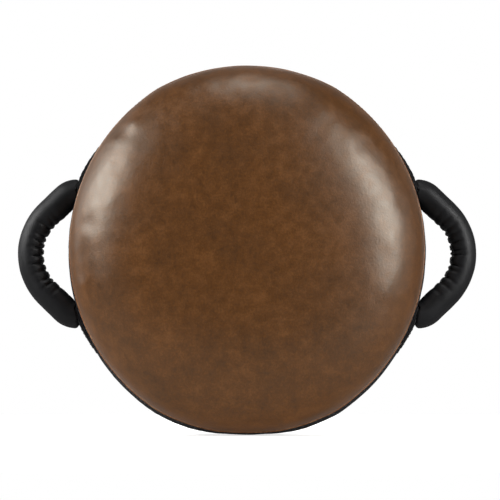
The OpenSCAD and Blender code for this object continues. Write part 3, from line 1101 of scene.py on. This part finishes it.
def make_floor():
    """White paper under the pad, tipped a little towards the camera, because the pad leans back."""
    floor = begin("studio_floor", bpy.ops.mesh.primitive_circle_add, vertices=96, radius=0.85,
                  fill_type="NGON", location=(0, 0, FLOOR_Z), rotation=(FLOOR_LEAN, 0, 0))
    paper = bpy.data.materials.new("white_paper")
    paper.use_nodes = True
    tree = paper.node_tree
    shader = tree.nodes["Principled BSDF"]
    shader.inputs["Roughness"].default_value = 0.9
    path = node(tree, "LightPath")
    tone = node(tree, "Mix", {
        "Factor": path.outputs["Is Glossy Ray"], 6: colour("#dededc"), 7: colour("#6e6e6c"),
    }, data_type="RGBA")
    tree.links.new(tone.outputs[2], shader.inputs["Base Color"])
    shine = node(tree, "Math", {0: path.outputs["Is Glossy Ray"], 1: PAPER_SHINE}, operation="MULTIPLY")
    seen = node(tree, "Math", {0: path.outputs["Is Camera Ray"], 1: shine.outputs[0]}, operation="MAXIMUM")
    seen = node(tree, "Math", {0: seen.outputs[0], 1: path.outputs["Is Transmission Ray"]},
                operation="MAXIMUM")
    glow = node(tree, "Math", {0: seen.outputs[0], 1: PAPER_GLOW}, operation="MULTIPLY")
    shader.inputs["Emission Color"].default_value = (1, 1, 1, 1)
    tree.links.new(glow.outputs[0], shader.inputs["Emission Strength"])
    floor.data.materials.append(paper)
    floor.visible_shadow = False


def make_lamp(name, azimuth, elevation, far, wide, tall, watts, mirrored, roll=0.0):
    """A soft box that faces the pad. Azimuth 0 is where the camera stands, and positive is to the right. Only
    a share of its light is mirrored by the leatherette, so that the rim doesn't burn out where it is seen at
    a slant. Roll turns it on its own axis, with its top to the left as the camera sees it."""
    a, e = math.radians(azimuth), math.radians(elevation)
    way = Vector((math.sin(a) * math.cos(e), -math.cos(a) * math.cos(e), math.sin(e)))
    for share, shows in ((mirrored, True), (1 - mirrored, False)):
        if share == 0:
            continue
        data = bpy.data.lights.new(name, "AREA")
        data.shape, data.size, data.size_y, data.energy = "RECTANGLE", wide, tall, watts * share
        lamp = bpy.data.objects.new(name, data)
        bpy.context.collection.objects.link(lamp)
        lamp.location = way * far
        turned = way.to_track_quat("Z", "Y") @ Quaternion((0, 0, 1), math.radians(roll))
        lamp.rotation_euler = turned.to_euler()
        lamp.visible_camera = False
        lamp.visible_glossy = shows


def make_world():
    """A dim room with a white backdrop behind the pad."""
    world = bpy.data.worlds.new("studio")
    bpy.context.scene.world = world
    world.use_nodes = True
    tree = world.node_tree
    tree.nodes.clear()
    path = node(tree, "LightPath")
    way = node(tree, "SeparateXYZ", {0: node(tree, "TexCoord").outputs["Generated"]})
    behind = node(tree, "MapRange", {"Value": way.outputs["Y"], 1: -0.05, 2: 0.5})
    shine = node(tree, "Math", {0: path.outputs["Is Glossy Ray"], 1: behind.outputs[0]}, operation="MULTIPLY")
    shine = node(tree, "Math", {0: shine.outputs[0], 1: ROOM_SHINE}, operation="MULTIPLY")
    seen = node(tree, "Math", {0: path.outputs["Is Camera Ray"], 1: shine.outputs[0]}, operation="MAXIMUM")
    seen = node(tree, "Math", {0: seen.outputs[0], 1: path.outputs["Is Transmission Ray"]},
                operation="MAXIMUM")
    dim = node(tree, "Math", {0: path.outputs["Is Glossy Ray"], 1: -0.04, 2: ROOM_LIGHT},
               operation="MULTIPLY_ADD")
    room = node(tree, "Background", {"Color": (1, 1, 1, 1), "Strength": dim.outputs[0]})
    white = node(tree, "Background", {"Color": (1, 1, 1, 1), "Strength": 1.0})
    mixed = node(tree, "MixShader", {0: seen.outputs[0], 1: room.outputs[0], 2: white.outputs[0]})
    node(tree, "OutputWorld", {"Surface": mixed.outputs[0]})


make_camera()
make_floor()
make_world()
# Azimuth and elevation in degrees, then distance, width and height in metres, and watts
make_lamp("left_soft_box", -69, 25, 1.6, 1.06, 0.75, 20.5, mirrored=0.9, roll=-20)
make_lamp("left_edge_soft_box", -106, 18, 1.6, 0.9, 1.1, 5, mirrored=0.8)
make_lamp("right_soft_box", 49, 17, 1.6, 0.44, 1.15, 18.5, mirrored=0.886, roll=24)
make_lamp("right_edge_soft_box", 82, 8, 1.6, 0.7, 1.1, 1.6, mirrored=0.85)
make_lamp("top_soft_box", 3, 72, 1.7, 0.55, 0.8, 7.6, mirrored=0.62)
make_lamp("rear_soft_box", 178, 40, 1.9, 1.4, 0.8, 11, mirrored=0)
make_lamp("near_rear_soft_box", 180, 10, 0.6, 0.32, 0.2, 2.4, mirrored=0.4)
make_lamp("low_fill", 0, -66, 1.2, 1.0, 0.6, 5.6, mirrored=0.05)
make_lamp("low_left_fill", -75, -35, 1.2, 0.6, 0.6, 5.5, mirrored=0.16)
make_lamp("low_right_fill", 65, -35, 1.2, 0.6, 0.6, 1.8, mirrored=0.4)
bpy.context.scene.view_settings.view_transform = "Standard"
